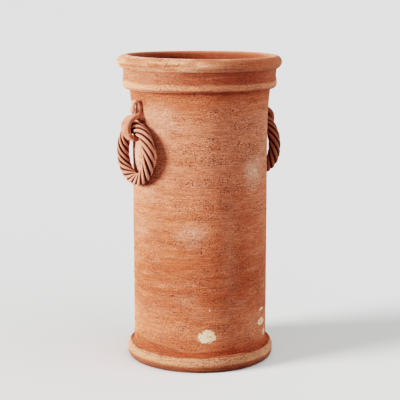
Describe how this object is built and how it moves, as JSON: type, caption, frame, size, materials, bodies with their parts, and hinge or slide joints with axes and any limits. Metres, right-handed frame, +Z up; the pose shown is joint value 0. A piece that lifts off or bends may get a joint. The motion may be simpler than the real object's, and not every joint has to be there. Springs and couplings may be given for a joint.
{
  "type": "terracotta pot",
  "caption": "Tall cylindrical terracotta pot with a rolled rim, collar band, foot roll, drain hole and swinging twisted clay ring handles on scrolled hooks.",
  "frame": {"origin": "middle of the underside, on the surface the pot stands on", "axes": "+Z up along the pot's axis; the hooks and rings lie on the X axis, the left ones at -X and the right ones at +X"},
  "size_m": [0.2848, 0.268, 0.5],
  "materials": {
    "terracotta_wall": "unglazed fired clay with fine throwing lines, brushed and slightly weathered",
    "terracotta_pale": "unglazed fired clay with a pale bloom of salts where it is handled",
    "terracotta_handle": "unglazed fired clay, hand smoothed",
    "terracotta_rope": "unglazed fired clay, hand rolled coils"
  },
  "bodies": {
    "pot": {"base_slab": "terracotta_wall", "wall": "terracotta_wall", "foot_roll": "terracotta_pale", "collar_band": "terracotta_wall", "rim_roll": "terracotta_pale", "left_hook": "terracotta_handle", "right_hook": "terracotta_handle"},
    "left_ring": {"left_ring_coil_1": "terracotta_rope", "left_ring_coil_2": "terracotta_rope", "left_ring_coil_3": "terracotta_rope", "left_ring_coil_4": "terracotta_rope", "left_ring_coil_5": "terracotta_rope", "left_ring_coil_6": "terracotta_rope"},
    "right_ring": {"right_ring_coil_1": "terracotta_rope", "right_ring_coil_2": "terracotta_rope", "right_ring_coil_3": "terracotta_rope", "right_ring_coil_4": "terracotta_rope", "right_ring_coil_5": "terracotta_rope", "right_ring_coil_6": "terracotta_rope"}
  },
  "joints": [
    {"name": "left_ring_swing", "type": "hinge", "parent": "pot", "child": "left_ring", "pos_m": [-0.1215, 0, 0.3887], "axis": [0, 1, 0], "range_deg": [0, 170]},
    {"name": "right_ring_swing", "type": "hinge", "parent": "pot", "child": "right_ring", "pos_m": [0.1215, 0, 0.3887], "axis": [0, -1, 0], "range_deg": [0, 170]}
  ]
}
